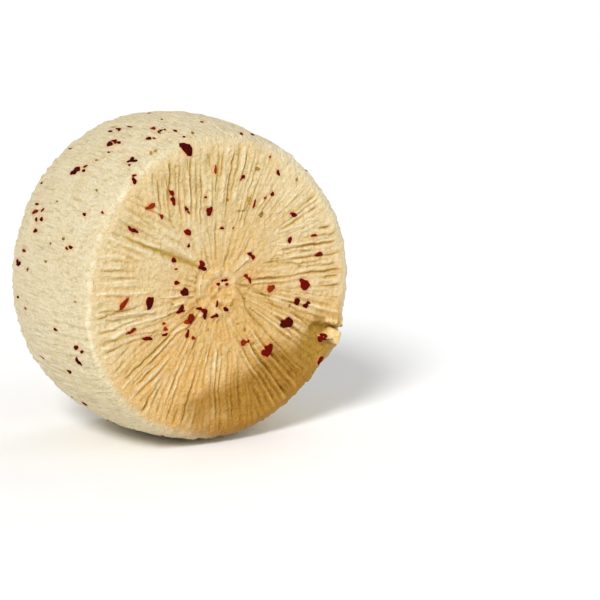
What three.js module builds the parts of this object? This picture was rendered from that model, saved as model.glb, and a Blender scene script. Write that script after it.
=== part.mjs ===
import * as THREE from "three";

// A wheel of fresh primo sale cheese with chilli, standing on its rim.
// Millimetres, +Z up. The wheel's axis lies along Y and its pleated face looks towards -Y.
// The origin is under the middle of the wheel, on the surface that it stands on.
// Directions round the wheel are degrees from the top, clockwise as seen from the front.

// Driving dimensions.
const DIAMETER = 184;
const THICKNESS = 92; // over the folds of both faces
const EDGE_RADIUS = 8.7; // rounding between each face and the rim
const RIM_CROWN = 6.4; // how far the rim's curve falls from mid-thickness to each face
const RIM_TAPER = 0.8; // the rim's fall from mid-thickness to the front, and rise to the back
const FOOT_DEPTH = 1.8; // how much the soft rim is flattened where it stands
const FOOT_SPAN = { inner: 15, outer: 45 }; // degrees from the foot where it is round, and where not

// The basket and the soft curd leave the wheel a little out of round.
const OUT_OF_ROUND = [
  { lobes: 2, height: 0.4, towards: -27 },
  { lobes: 3, height: 0.9, towards: -19 },
];

// The basket's ribs and the gathered curd pleat both faces. The folds start where the edge
// begins to round and run inwards, every fourth one up to the navel.
const FOLD_DEPTH = 1.5;
const FOLD_START_RADIUS = 80;
const FOLD_FADE = 7; // the length over which a fold rises and dies away
const FOLD_REACH = { fourth: 17, second: 31, single: 45 }; // the radius where each fold dies
const FOLDS_PER_DEGREE = 0.25;
const FOLD_JITTER = 0.22; // unevenness of the folds' places, as a share of their pitch
const MOST_SPREAD = 1.35; // how far folds stay parallel before they turn to the centre
const BACK_FOLD_SHARE = 0.75; // the back's folds are shallower
const RIB_DEPTH = 0.35; // low ribs that the folds leave on the rim

// The folds lie in fans. Each fan keeps parallel to its axis, and a crease parts it from the
// one before.
const FANS = [
  { from: -42, to: 28, axis: 4, crease: 0.9 },
  { from: 28, to: 64, axis: 50, crease: 0.5 },
  { from: 64, to: 106, axis: 88, crease: 0.8 },
  { from: 106, to: 140, axis: 120, crease: 0.8 },
  { from: 140, to: 170, axis: 152, crease: 0.6 },
  { from: 170, to: 214, axis: 194, crease: 0.7 },
  { from: 214, to: 254, axis: 240, crease: 0.8 },
  { from: 254, to: 301, axis: 272, crease: 0.7 },
  { from: 301, to: 318, axis: 306, crease: 2.4 },
];
const CREASE_MIDDLE_RADIUS = 46;
const CREASE_HALF_LENGTH = 27;

// The navel is a shallow hollow with a raised ring, where the folds gather.
const NAVEL_RADIUS = 13.5;
const NAVEL_RING_HEIGHT = 0.9;
const NAVEL_HOLLOW_DEPTH = 1.1;
const NAVEL_OFFSET = { x: -2, z: -1.5 };

// A dent at the lower right of the front, by the edge, with a torn lip just outside it.
const DENT = { direction: 114, radius: 73, size: 8, depth: 3.6 };
const LIP = { direction: 116, radius: 86, size: 5, depth: -0.8 };

// The rings of vertices across each part of the surface.
const FRONT_RING_RADII = [0, 7, NAVEL_RADIUS, 18.5, 28, 40, 53, 66, 74];
const BACK_RING_RADII = [75, 66, 50, 34, 18.5, NAVEL_RADIUS, 0];
const EDGE_STEPS = 4;
const RIM_RING_PLACES = [-19, 0, 19];

const half = THICKNESS / 2;
const wheelRadius = DIAMETER / 2;
const facePlane = half - FOLD_DEPTH / 2;
const footLevel = wheelRadius - FOOT_DEPTH; // from the axis down to the flat

// The rim's radius, before any relief, at a place along the axis.
function rimRadius(axial) {
  const share = axial / half;
  return wheelRadius - RIM_CROWN * share * share + RIM_TAPER * share;
}

function rimRing(axial) {
  return { radius: rimRadius(axial), axial, side: 0 };
}

// The rings from the front's centre, over the rim, to the back's centre. A ring's side is -1 on
// the front, 1 on the back and 0 on the rounded edges and the rim.
function ringProfile() {
  const rings = FRONT_RING_RADII.map((radius) => ({ radius, axial: -facePlane, side: -1 }));
  for (const side of [-1, 1]) {
    const rimEnd = facePlane - EDGE_RADIUS;
    const tangentRadius = rimRadius(side * rimEnd) - EDGE_RADIUS;
    if (side === 1) RIM_RING_PLACES.forEach((axial) => rings.push(rimRing(axial)));
    for (let step = 0; step <= EDGE_STEPS; step++) {
      const turn = (step / EDGE_STEPS) * (Math.PI / 2);
      const angle = side === -1 ? turn : Math.PI / 2 - turn;
      rings.push({
        radius: tangentRadius + EDGE_RADIUS * Math.sin(angle),
        axial: side * (rimEnd + EDGE_RADIUS * Math.cos(angle)),
        side: angle === 0 ? side : 0,
      });
    }
  }
  BACK_RING_RADII.forEach((radius) => rings.push({ radius, axial: facePlane, side: 1 }));
  return rings;
}

// A small repeatable unevenness between -1 and 1.
function unevenness(index) {
  return 0.6 * Math.sin(2.7 * index + 1) + 0.4 * Math.sin(7.3 * index);
}

// One line of vertices along each crest and one along each valley, all the way round.
function foldLines() {
  const lines = [];
  for (const fan of FANS) {
    const folds = Math.round((fan.to - fan.from) * FOLDS_PER_DEGREE);
    for (let i = 0; i < 2 * folds; i++) {
      const shift = i === 0 ? 0 : FOLD_JITTER * unevenness(lines.length);
      const fold = Math.floor(i / 2);
      const reach = fold % 4 === 0 ? "fourth" : fold % 2 === 0 ? "second" : "single";
      lines.push({
        fan,
        place: (i + shift) / (2 * folds), // 0 at the fan's first border, 1 at its last
        rise: i % 2 === 0 ? -1 : 1, // a valley or a crest
        reach: FOLD_REACH[reach],
        strength: 0.8 + 0.2 * unevenness(3 * fold + fan.axis),
        crease: i === 0 ? fan.crease : 0,
      });
    }
  }
  return lines;
}

// A fold's direction at a radius. Lines keep parallel to the fan's axis as they run inwards,
// and crowd towards the fan's borders.
function lineDirection(line, radius) {
  const { from, to, axis } = line.fan;
  const direction = from + line.place * (to - from);
  const border = direction > axis ? to : from;
  const share = (direction - axis) / (border - axis);
  const spread = THREE.MathUtils.clamp(FOLD_START_RADIUS / Math.max(radius, 1), 1, MOST_SPREAD);
  const crowded = (share * spread) / Math.sqrt(1 + share * share * (spread * spread - 1));
  return THREE.MathUtils.degToRad(axis + crowded * (border - axis));
}

// A smooth bump of height 1 that falls to nothing at its size.
function bump(distance, size) {
  const share = Math.min(distance / size, 1);
  return (1 - share * share) ** 2;
}

// How strongly a fold shows at a radius on a face, from 0 to 1.
function foldShows(line, radius) {
  const { smoothstep } = THREE.MathUtils;
  const rises = smoothstep(radius, line.reach, line.reach + FOLD_FADE);
  const dies = 1 - smoothstep(radius, FOLD_START_RADIUS - FOLD_FADE / 2, FOLD_START_RADIUS + FOLD_FADE / 2);
  return line.strength * rises * dies;
}

// The relief of a face, outwards from its plane.
function faceRelief(line, ring) {
  const folds = (line.rise * FOLD_DEPTH * foldShows(line, ring.radius)) / 2;
  const share = ring.side === -1 ? 1 : BACK_FOLD_SHARE;
  const crease = line.crease * bump(Math.abs(ring.radius - CREASE_MIDDLE_RADIUS), CREASE_HALF_LENGTH);
  const ringBump = NAVEL_RING_HEIGHT * bump(Math.abs(ring.radius - NAVEL_RADIUS), NAVEL_RADIUS / 2);
  const hollow = NAVEL_HOLLOW_DEPTH * bump(ring.radius, NAVEL_RADIUS);
  return share * (folds - crease) + ringBump - hollow;
}

// The depth of the dent, or the height of its lip, at a point of the front.
function markDepth(mark, x, z) {
  const direction = THREE.MathUtils.degToRad(mark.direction);
  const distance = Math.hypot(x - mark.radius * Math.sin(direction), z - mark.radius * Math.cos(direction));
  return mark.depth * bump(distance, 2 * mark.size);
}

// How far the wheel stands out of round in a direction. Its weight keeps it round at the foot.
function outOfRound(direction) {
  const fromFoot = THREE.MathUtils.radToDeg(Math.acos(-Math.cos(direction)));
  const free = THREE.MathUtils.smoothstep(fromFoot, FOOT_SPAN.inner, FOOT_SPAN.outer);
  return OUT_OF_ROUND.reduce((sum, { lobes, height, towards }) => {
    return sum + free * height * Math.cos(lobes * (direction - THREE.MathUtils.degToRad(towards)));
  }, 0);
}

// The point where a fold's line crosses a ring. The wheel's axis is at x = 0, z = 0 here.
function surfacePoint(line, ring) {
  const direction = lineDirection(line, ring.radius);
  const outer = THREE.MathUtils.smoothstep(ring.radius, FOLD_START_RADIUS / 2, FOLD_START_RADIUS);
  const rib = ring.side === 0 ? (line.rise * RIB_DEPTH) / 2 : 0;
  const radius = ring.radius + outer * outOfRound(direction) + rib;
  const gather = (1 - Math.min(ring.radius / FOLD_START_RADIUS, 1)) ** 2;
  const x = radius * Math.sin(direction) + gather * NAVEL_OFFSET.x;
  const z = radius * Math.cos(direction) + gather * NAVEL_OFFSET.z;
  const relief = ring.side === 0 ? 0 : faceRelief(line, ring);
  const marks = ring.axial < 0 ? markDepth(DENT, x, z) + markDepth(LIP, x, z) : 0;
  return { x, y: ring.axial + ring.side * relief + marks, z };
}

function wheelGeometry() {
  const rings = ringProfile();
  const lines = foldLines();
  const outline = rings.map((ring) => new THREE.Vector2(ring.radius, ring.axial));
  const geometry = new THREE.LatheGeometry(outline, lines.length);
  const position = geometry.getAttribute("position");
  for (let turn = 0; turn <= lines.length; turn++) {
    rings.forEach((ring, i) => {
      const { x, y, z } = surfacePoint(lines[turn % lines.length], ring);
      position.setXYZ(turn * rings.length + i, x, y, Math.max(z + footLevel, 0));
    });
  }
  geometry.computeBoundingBox();
  const middle = geometry.boundingBox.getCenter(new THREE.Vector3());
  geometry.translate(-middle.x, -middle.y, 0);
  geometry.computeVertexNormals();
  return geometry;
}

const curd = new THREE.MeshStandardMaterial({ color: 0xead8ac, roughness: 0.55, metalness: 0 });

const wheel = new THREE.Mesh(wheelGeometry(), curd);
wheel.name = "cheese_wheel";

const primoSale = new THREE.Group();
primoSale.add(wheel);

export default primoSale;
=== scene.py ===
"""The looks of a primo sale cheese wheel with chilli, standing on its rim.

Sizes are millimetres, and MM turns them into metres where a mesh is made. While shapes are worked
out, the wheel's axis is at x = 0, z = 0, and its pleated front looks towards -Y. Directions round
the wheel are degrees from the top, clockwise as seen from the front.
"""

import itertools
import math

import bpy
import numpy as np
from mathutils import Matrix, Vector
from mathutils.bvhtree import BVHTree


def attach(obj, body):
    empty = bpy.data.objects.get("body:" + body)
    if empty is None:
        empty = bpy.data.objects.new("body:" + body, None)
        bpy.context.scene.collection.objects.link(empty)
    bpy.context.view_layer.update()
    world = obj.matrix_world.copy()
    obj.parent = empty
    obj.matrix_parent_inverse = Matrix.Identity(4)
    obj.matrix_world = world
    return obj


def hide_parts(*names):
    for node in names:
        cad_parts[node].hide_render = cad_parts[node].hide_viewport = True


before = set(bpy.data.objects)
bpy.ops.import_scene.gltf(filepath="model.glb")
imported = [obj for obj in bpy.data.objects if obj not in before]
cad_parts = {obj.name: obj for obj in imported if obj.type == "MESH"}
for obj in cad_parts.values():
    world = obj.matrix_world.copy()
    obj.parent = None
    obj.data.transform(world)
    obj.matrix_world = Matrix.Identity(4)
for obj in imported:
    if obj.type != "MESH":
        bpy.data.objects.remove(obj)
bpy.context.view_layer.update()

MM = 0.001

# ---------------- the wheel's sizes

DIAMETER = 184
THICKNESS = 92
EDGE_RADIUS = 8.7
RIM_CROWN = 6.4  # how far the rim's curve falls from mid-thickness to each face
RIM_TAPER = 0.8  # its fall from mid-thickness to the front, and rise to the back
FOOT_DEPTH = 1.8  # how much the soft rim is flattened where it stands
FOOT_SPAN = (15, 45)  # degrees from the foot where it is round, and where it is not
FRONT_SPACING = 0.61  # between the vertices of the front
BACK_SPACING = 1.1
FRONT_EDGE_RINGS = (14, 780)  # rings across it, and vertices in each
BACK_EDGE_RINGS = (7, 520)
RIM_RINGS = (19, 700)

# (lobes, height, direction): the basket leaves the wheel a little out of round.
OUT_OF_ROUND = [(2, 0.4, -27), (3, 0.9, -19)]

FOLD_DEPTH = 1.5
FOLD_PLANE = THICKNESS / 2 - FOLD_DEPTH / 2
FOLD_START_RADIUS = 80
FAN_RADIUS = 75  # where a fan's pitch is measured

# Fans of folds: (from, to, focus, pitch, inner radius, depth, how sharp the crests are). The
# folds of a fan all point at its focus, so a far focus keeps them parallel.
FANS = [
    (-37, -3, (-12, -400), 3.5, 42, 1.0, 0.1),
    (-3, 27, (-7, -18), 3.4, 34, 0.95, 0.1),
    (27, 66, (5, 15), 3.7, 36, 0.5, 0.5),
    (66, 97, (-300, 5), 4.2, 20, 1.0, 0.25),
    (97, 131, (-4, 5), 4.3, 17, 1.1, 0.25),
    (131, 163, (-30, 34), 4.2, 26, 1.1, 0.15),
    (163, 192, (8, 300), 4.0, 32, 0.9, 0.2),
    (192, 222, (14, 40), 4.2, 30, 0.9, 0.2),
    (222, 247, (230, 190), 4.4, 34, 0.9, 0.3),
    (247, 268, (295, 52), 5.0, 24, 0.85, 1.0),
    (268, 292, (300, -12), 4.8, 40, 0.6, 1.0),
    (292, 323, (270, -131), 4.8, 24, 0.6, 0.4),
]
NAVEL_FOLDS = 38  # the shorter folds round the navel
NAVEL_FOLDS_RADIUS = 24
BACK_FOLD_SHARE = 0.75

RIB_COUNT = 148
RIB_DEPTH = 0.4

NAVEL = (-2.0, -1.5)
NAVEL_RADIUS = 13.5
NAVEL_RING_HEIGHT = 0.9
NAVEL_HOLLOW_DEPTH = 0.9

half_thickness = THICKNESS / 2
wheel_radius = DIAMETER / 2
foot_level = wheel_radius - FOOT_DEPTH
rim_end = FOLD_PLANE - EDGE_RADIUS

# ---------------- marks on the front face

# Creases of the front: (path of (x, z, half width) points, how brown, partly as painted shade).
CREASES = [
    ([(-62, 36.5, 0.6), (-58.6, 35, 1), (-51.2, 31.5, 1.1), (-46.3, 29, 1.4), (-41.3, 26.8, 2.2),
      (-31.3, 22.1, 2.8), (-21.2, 17.6, 2.4), (-16.2, 15.4, 1.4), (-11.7, 13.5, 0.7)], 1),
    ([(-63.5, 46, 0.6), (-57.2, 41.5, 1.3), (-51, 38.7, 1.2), (-46.2, 35.2, 1.1),
      (-39.5, 32.7, 0.6)], 0.55),
    ([(-57.8, 50.3, 0.6), (-51.7, 46.8, 1.1), (-46.1, 42.2, 1.2), (-41.9, 39.2, 0.7)], 0.5),
    ([(-67.8, 39.3, 0.6), (-63.8, 36.7, 1.1)], 0.5),
    ([(-69.4, 34.8, 0.5), (-68.7, 32.2, 1.1), (-66.7, 30.8, 0.7)], 0.4),
    ([(10.5, 43.8, 0.5), (12.6, 43.3, 0.9), (16.5, 43, 1), (18.6, 46.5, 1)], 0.7),
    ([(-76.3, 18.9, 0.5), (-68.7, 18, 1), (-60.9, 17.3, 0.5)], 0.5),
    ([(-76.7, -3.7, 0.8), (-67, -4.5, 1.2), (-61.2, -3.8, 0.6)], 0.7),
    ([(-73.6, -8.9, 0.8), (-63.8, -10, 1.2), (-48.9, -9.2, 1.1), (-39.3, -6.7, 0.5)], 0.6),
    ([(-77.1, -22.4, 0.7), (-59, -19.6, 1.3), (-39.9, -19.1, 0.7)], 0.6),
    ([(9, 3, 0.6), (12.2, 1, 1), (26.6, -4.7, 1.2), (35.3, -13.8, 0.8)], 0.5),
    ([(9, 1, 0.6), (14.1, -5.5, 1.2), (16.7, -13.9, 1.3), (26.6, -24.9, 0.9)], 0.6),
    ([(-13.5, 12, 0.6), (-16.5, 4, 1.1), (-16, -4, 1.1), (-13, -9, 0.6)], 0.35),
    ([(39.3, -10.8, 0.5), (52.1, -19.3, 1.2), (64.3, -23.2, 0.7)], 0.5),
    ([(36.7, 11.2, 0.5), (52.1, 8.6, 1.1), (70.4, 9.8, 0.8)], 0.6),
    ([(-6.8, 76.3, 0.6), (-6.7, 73.5, 0.9), (-6.9, 69.7, 0.6)], 1),
    ([(-0.4, 77.4, 0.6), (-1.4, 69.2, 0.9), (-3, 56, 0.7)], 1),
    ([(-28.7, 73.2, 0.7), (-28.3, 65.8, 0.9)], 0.8),
    ([(-20.7, 75.3, 0.6), (-19.6, 66.4, 0.8)], 0.8),
    ([(-39.9, 65.4, 0.6), (-38.4, 57.2, 1), (-37.8, 43.2, 0.6)], 0.8),
    ([(-34.1, 68.5, 0.6), (-33, 57.4, 1.1), (-31.9, 42.6, 1.2), (-29.5, 37.9, 0.7)], 0.7),
    ([(40.5, 18, 0.6), (52.1, 16.4, 1), (62.9, 14.5, 0.6)], 0.4),
    ([(46.5, -19, 0.6), (52.1, -23.4, 1.1), (58.7, -28.4, 1.4), (61.6, -33.3, 0.8)], 0.9),
    ([(48, -27.6, 0.7), (51.4, -31, 1.1), (55.5, -35.2, 0.7)], 0.8),
    ([(44.2, -29.1, 0.6), (47.3, -32.8, 1.1), (51, -37.3, 0.7)], 0.7),
    ([(35.9, -39.9, 0.6), (41.2, -45.5, 1.2), (48, -53.5, 0.9)], 0.8),
    ([(19.3, -20, 0.6), (22.3, -21.8, 1), (25.2, -24.2, 0.7)], 0.5),
]
CREASE_SHARE = 0.75  # a crease's depth, as a share of its half width

# Thin raised lines of the front, as paths of (x, z, half width) points.
RAISED_LINES = [
    [(-76.4, 12, 0.8), (-62.7, 11.4, 1.3), (-47, 11.6, 0.6)],
    [(-39.6, 0.3, 0.7), (-29.1, -0.4, 1.4), (-17.8, -1.5, 0.8)],
    [(-74, -6.4, 1), (-58, -6.8, 1.4), (-43, -7.2, 0.7)],
    [(-71, 23.4, 0.8), (-61.3, 21.8, 1.2)],
    [(-69.3, -14.5, 1), (-51.9, -12.2, 1.4), (-36.2, -10.8, 1.2), (-27.9, -7.8, 0.7)],
    [(-36.4, -23.2, 0.8), (-28.1, -19.7, 1.1), (-16.5, -16.1, 0.8)],
    [(-8.4, 12.7, 0.7), (-12.4, 9.5, 1.1), (-14.6, 4.1, 1.3), (-14.2, -1.4, 1), (-12, -5.5, 0.6)],
    [(35.3, 21.2, 0.9), (52.1, 20.4, 1.4), (62.9, 21.3, 1.4), (71.4, 22.9, 0.9)],
    [(40.5, 24.9, 0.8), (50.7, 27.3, 1.3), (61, 29.8, 1.3), (68.3, 32.6, 0.7)],
    [(36.4, 28.8, 0.8), (42.4, 29, 1.2), (51.7, 30.7, 1.3), (61, 34.2, 1.3), (67.3, 37.1, 0.8)],
    [(34.4, 36, 0.7), (38.5, 40, 1.1), (46.6, 46.2, 1.2), (50.7, 51.1, 0.7)],
    [(37.3, 16, 0.8), (46, 13.6, 1.2), (69, 14.9, 0.9)],
]
RAISED_SHARE = 0.65  # a raised line's height, as a share of its half width

# Pale crumbs of curd that stand beside flakes: (x, z, radius).
CRUMBS = [
    (-13.9, -12.5, 1.8), (17.4, 15.4, 1.7),
    (65.9, -39.7, 1), (67.4, -42.4, 1.2), (71.1, -39.9, 1),
]
CRUMB_SHARE = 0.62  # a crumb's height, as a share of its radius

# (x, z, radius, strength): patches where the folds are faint.
FAINT_PATCHES = [(-44, 12, 20, 0.7), (44, 58, 22, 0.8), (28, 30, 16, 0.45), (48, 6, 18, 0.6)]

# Low on the right the front is worn hollow, from the ends of the folds to the edge, below a jagged
# step. Torn flaps hang on the step, and a lip of curd stands out under it, where the edge is pushed
# out. Places here are (around, across): millimetres on from the step, clockwise, and millimetres
# out from where the edge begins to round.
STEP_DIRECTION = 111.3
STEP_RADIUS = 78
WORN_BORDER = [(0, -11), (2, -15), (7, -15.5), (12, -19), (19, -21), (29, -13), (38, -4)]
WORN_DEPTHS = [(0, 4.2), (6, 3.6), (14, 1.9), (30, 0.9), (38, 0)]  # (around, depth)
# The hollow's painted shade is full from this depth.
FULL_HOLLOW_SHADE_DEPTH = 3.2  # the depth from which the material shows the curd as fully sunk
STEP_FLAPS = {"from": -3.4, "inner": -10, "outer": 7, "height": 1.0}
LIP = {"from": (2.2, -3.0), "to": (9.8, 7.2), "slant": 0.71, "height": 1.2}
BULGE = {"direction": 116.5, "span": 12.5, "height": 4.4}  # the first two in degrees

# The basket's brim leaves a firm crest along the front's edge, best seen on the left. Its pale
# colour is a painted highlight. Its direction and span are degrees.
EDGE_CREST = {"across": 5.8, "half_width": 3.2, "height": 0.6, "direction": -80, "span": 95}

# A golden brown painted shadow lies low on the right, below this line of (x, z) points, and is full
# past its width. On from the line's end its border droops. It fades out over the rounded edge,
# which begins at the edge's distance before mid-thickness.
SHADE_LINE = {"from": (8, -47), "to": (63, -24.5), "width": 9, "droop": 0.55, "edge": 45}
SHADE_STRENGTH = 0.95
SHADE_LEFT = (-45, 10)  # the x where it begins, and where it is full
SHADE_DEPTH = (31, 42)  # the distance before mid-thickness where it begins, and where it is full


# ---------------- number helpers

NOISE_PERIOD = 64


def value_noise(seed, *coordinates):
    """Smooth noise from -1 to 1, with about one bump for each unit of its coordinates."""
    lattice = np.random.default_rng(seed).uniform(-1, 1, (NOISE_PERIOD,) * len(coordinates))
    cells = [np.floor(c).astype(int) for c in coordinates]
    shares = [c - np.floor(c) for c in coordinates]
    shares = [s * s * (3 - 2 * s) for s in shares]
    total = 0.0
    for corner in itertools.product((0, 1), repeat=len(coordinates)):
        weight = 1.0
        for share, step in zip(shares, corner):
            weight = weight * (share if step else 1 - share)
        index = tuple((cell + step) % NOISE_PERIOD for cell, step in zip(cells, corner))
        total = total + weight * lattice[index]
    return total


def smoothstep(value, low, high):
    share = np.clip((value - low) / (high - low), 0, 1)
    return share * share * (3 - 2 * share)


def bump(distance, size):
    """A smooth bump of height 1 that falls to nothing at its size."""
    share = np.minimum(np.abs(distance) / size, 1)
    return (1 - share * share) ** 2


def path_nearness(x, z, path):
    """1 on a path of (x, z, half width) points, and 0 past its width. Also gives that width."""
    nearness, width = np.zeros(np.shape(x)), np.zeros(np.shape(x))
    for (x0, z0, width0), (x1, z1, width1) in zip(path, path[1:]):
        along_x, along_z = x1 - x0, z1 - z0
        share = ((x - x0) * along_x + (z - z0) * along_z) / (along_x**2 + along_z**2)
        share = np.clip(share, 0, 1)
        here = width0 + share * (width1 - width0)
        near = bump(np.hypot(x - x0 - share * along_x, z - z0 - share * along_z), here)
        width = np.where(near > nearness, here, width)
        nearness = np.maximum(nearness, near)
    return nearness, width


def ridged_noise(seed, *coordinates):
    """Noise from -1 to 1 with thin winding ridges."""
    return 1 - 2.6 * np.abs(value_noise(seed, *coordinates))


# ---------------- the folds


def uneven(seed, index):
    """A repeatable number from -1 to 1 for each whole index."""
    return np.random.default_rng(seed).uniform(-1, 1, 128)[np.asarray(index) % 128]


def fold_lines(x, z, radius, focus, towards, reach, pitch, sharpness, seed, wrap=128):
    """The relief of folds that all point at a focus, and how far down a valley each point is.

    towards is the direction from the focus to the folds' middle, and reach is the distance at
    which they are a pitch apart.
    """
    along = np.hypot(x - focus[0], z - focus[1])
    turn = np.arctan2(x - focus[0], z - focus[1]) - towards
    turn = (turn + math.pi) % (2 * math.pi) - math.pi
    across = turn * reach / pitch
    across = across + 0.22 * value_noise(seed, x / 14 + 9, z / 14) * smoothstep(along, 8, 30)
    across = across + 0.1 * value_noise(seed + 1, x / 4, z / 4) + 0.28 * value_noise(seed + 2, across + 20)
    width = pitch * np.minimum(along / reach, 1.25)

    valley = np.round(across).astype(int)
    number = valley % wrap
    to_valley = np.abs(across - valley) * width
    strength = np.where(number % 2 == 0, 1.0, 0.6) * (1 + 0.35 * uneven(seed, number))
    strength = strength * np.clip(0.8 + 0.8 * value_noise(seed + 3, 5.3 * number, along / 11), 0.05, 1.25)
    start = FOLD_START_RADIUS - 1.5 + 3.5 * uneven(seed + 1, number)
    starts = 1 - smoothstep(radius, start - 3.4, start + 1.4)
    down = strength * starts * bump(to_valley, 1.25)

    fold = np.floor(across).astype(int)
    lively = 0.75 + 0.45 * uneven(seed + 2, fold % wrap)
    lively = lively + 0.45 * value_noise(seed + 4, 3.1 * fold, along / 9)
    middle = across - fold - 0.5 - 0.12 * uneven(seed + 3, fold % wrap)
    split = np.clip(value_noise(seed + 5, 4.7 * fold, along / 8) + 0.15, 0, 0.6)
    down = np.maximum(down, split * starts * bump(middle * width, 0.85))
    rounded = 0.5 - 0.5 * np.cos(2 * math.pi * (across - fold))
    crest = 0.45 * rounded + 0.75 * sharpness * bump(middle * width, 1.25)
    ends = 1 - smoothstep(radius, FOLD_START_RADIUS - 1.5, FOLD_START_RADIUS + 3)
    return lively * crest * ends, down


def all_folds(x, z, radius, seed):
    """The fans of folds and the shorter folds round the navel: their relief and their valleys."""
    direction = np.degrees(np.arctan2(x, z))
    borders_wander = 2.5 * value_noise(seed + 5, x / 9, z / 9)
    ends_wander = 5 * value_noise(seed + 6, x / 10, z / 10)
    height, valley, covered = np.zeros_like(x), np.zeros_like(x), np.zeros_like(x)
    for i, (low, high, focus, pitch, inner, depth, sharpness) in enumerate(FANS):
        middle = (low + high) / 2
        off = (direction - middle + 180) % 360 - 180
        border = ((high - low) / 2 - np.abs(off)) * np.radians(radius) + np.sign(off) * borders_wander
        weight = smoothstep(border, -1.2, 1.2) * smoothstep(radius + ends_wander, inner - 5, inner + 6)
        angle = math.radians(middle)
        middle_x, middle_z = FAN_RADIUS * math.sin(angle), FAN_RADIUS * math.cos(angle)
        towards = math.atan2(middle_x - focus[0], middle_z - focus[1])
        reach = math.hypot(middle_x - focus[0], middle_z - focus[1])
        crest, down = fold_lines(x, z, radius, focus, towards, reach, pitch, sharpness, seed + 10 * i + 10)
        ease = 1 - 0.5 * bump(border, 3)
        height += weight * depth * crest * ease
        valley += weight * depth * down * ease
        covered += weight
    reach = NAVEL_FOLDS_RADIUS
    pitch = 2 * math.pi * reach / NAVEL_FOLDS
    crest, down = fold_lines(x, z, radius, NAVEL, 0, reach, pitch, 0.3, seed + 200, NAVEL_FOLDS)
    weight = (1 - np.minimum(covered, 1)) * smoothstep(np.hypot(x - NAVEL[0], z - NAVEL[1]), 10, 18)
    return height + 0.5 * weight * crest, valley + 0.7 * weight * down


# ---------------- the rings of the wheel


def rim_radius(axial):
    share = axial / half_thickness
    return wheel_radius - RIM_CROWN * share * share + RIM_TAPER * share


EDGE_START = rim_radius(-rim_end) - EDGE_RADIUS  # the radius where the front's edge begins to round


def face_rings(side, spacing):
    """(side, radius, axial, radial part of the normal, number of vertices), outwards."""
    tangent_radius = rim_radius(side * rim_end) - EDGE_RADIUS
    count = round(tangent_radius / spacing)
    radii = tangent_radius * np.arange(1, count) / count
    return [(side, r, side * FOLD_PLANE, 0.0, round(2 * math.pi * r / spacing)) for r in radii]


def edge_rings(side, rows, count):
    """The rounded edge, from the face to the rim."""
    centre_radius = rim_radius(side * rim_end) - EDGE_RADIUS
    rings = []
    for i in range(rows):
        angle = math.pi / 2 * i / rows
        radius = centre_radius + EDGE_RADIUS * math.sin(angle)
        axial = side * (rim_end + EDGE_RADIUS * math.cos(angle))
        rings.append((side, radius, axial, math.sin(angle), count))
    return rings


def rim_rings(rows, count):
    places = np.linspace(-rim_end, rim_end, rows)
    return [(0, rim_radius(axial), axial, 1.0, count) for axial in places]


def wheel_rings():
    front = face_rings(-1, FRONT_SPACING) + edge_rings(-1, *FRONT_EDGE_RINGS)
    back = face_rings(1, BACK_SPACING) + edge_rings(1, *BACK_EDGE_RINGS)
    return front + rim_rings(*RIM_RINGS) + back[::-1]


def stitch(first, count_a, second, count_b):
    """Triangles between two closed rings of vertices, whose numbers start at first and second."""
    a = np.arange(count_a)
    b = np.arange(count_b)
    met_b = np.ceil((a + 0.5) * count_b / count_a - 0.5).astype(int)
    met_a = np.floor((b + 0.5) * count_a / count_b - 0.5).astype(int) + 1
    from_a = np.stack([first + a, first + (a + 1) % count_a, second + met_b % count_b], 1)
    from_b = np.stack([second + (b + 1) % count_b, second + b, first + met_a % count_a], 1)
    return np.concatenate([from_a, from_b])


def cap(centre, first, count, outward):
    """Triangles from a centre vertex to a closed ring."""
    a = np.arange(count)
    ring, following = first + a, first + (a + 1) % count
    middle = np.full(count, centre)
    return np.stack([middle, following, ring] if outward else [middle, ring, following], 1)


# ---------------- the relief


def fine_lines(x, z):
    """The height of the front's creases, raised lines and crumbs, and how brown and pale it is: the brown
    is partly painted shade in the creases, and the pale a painted highlight on the raised lines.
    """
    height, brown, pale = np.zeros_like(x), np.zeros_like(x), np.zeros_like(x)
    bent_x = x + 0.5 * value_noise(11, x / 3, z / 3)
    bent_z = z + 0.5 * value_noise(12, x / 3, z / 3)
    for path in RAISED_LINES:
        near, width = path_nearness(bent_x, bent_z, path)
        height = np.maximum(height, RAISED_SHARE * near * width)
        # a painted highlight along each raised line
        pale = np.maximum(pale, 0.6 * near)
    for path, browning in CREASES:
        near, width = path_nearness(bent_x, bent_z, path)
        height = height - CREASE_SHARE * near * width
        # brown in the crease, partly painted shade
        brown = np.maximum(brown, browning * near)
    for crumb_x, crumb_z, radius in CRUMBS:
        near = bump(np.hypot(bent_x - crumb_x, bent_z - crumb_z), radius)
        height = height + CRUMB_SHARE * radius * near
        pale = np.maximum(pale, np.minimum(1.6 * near, 1))
    return height, brown, pale


def navel_relief(x, z, seed):
    """(height, how pale as painted highlight, how deep as painted shade) of the gathered ring, its hollow
    and its lumps, amid a face.
    """
    from_navel = np.hypot(x - NAVEL[0], z - NAVEL[1])
    round_navel = np.arctan2(x - NAVEL[0], z - NAVEL[1]) * 3
    irregular = 1 + 0.7 * value_noise(seed, round_navel + 20, from_navel / 9)
    ring = NAVEL_RING_HEIGHT * bump(from_navel - NAVEL_RADIUS + 1.2 * irregular, 4.0) * irregular
    hollow = NAVEL_HOLLOW_DEPTH * bump(from_navel, NAVEL_RADIUS)
    lumps = 0.9 * ridged_noise(seed + 1, x / 4.8, z / 4.8) + value_noise(seed + 2, x / 2.7, z / 2.7)
    near = bump(from_navel, 2.0 * NAVEL_RADIUS)
    height = ring - hollow + near * (lumps - 0.5)
    # a painted highlight on the raised lumps and the ring
    pale = near * np.clip(0.4 * lumps + 0.3 * ring, 0, 0.5)
    # the last value paints shade in the low places between the lumps
    return height, pale, near * np.clip(-0.8 * lumps, 0, 0.7)


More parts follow.
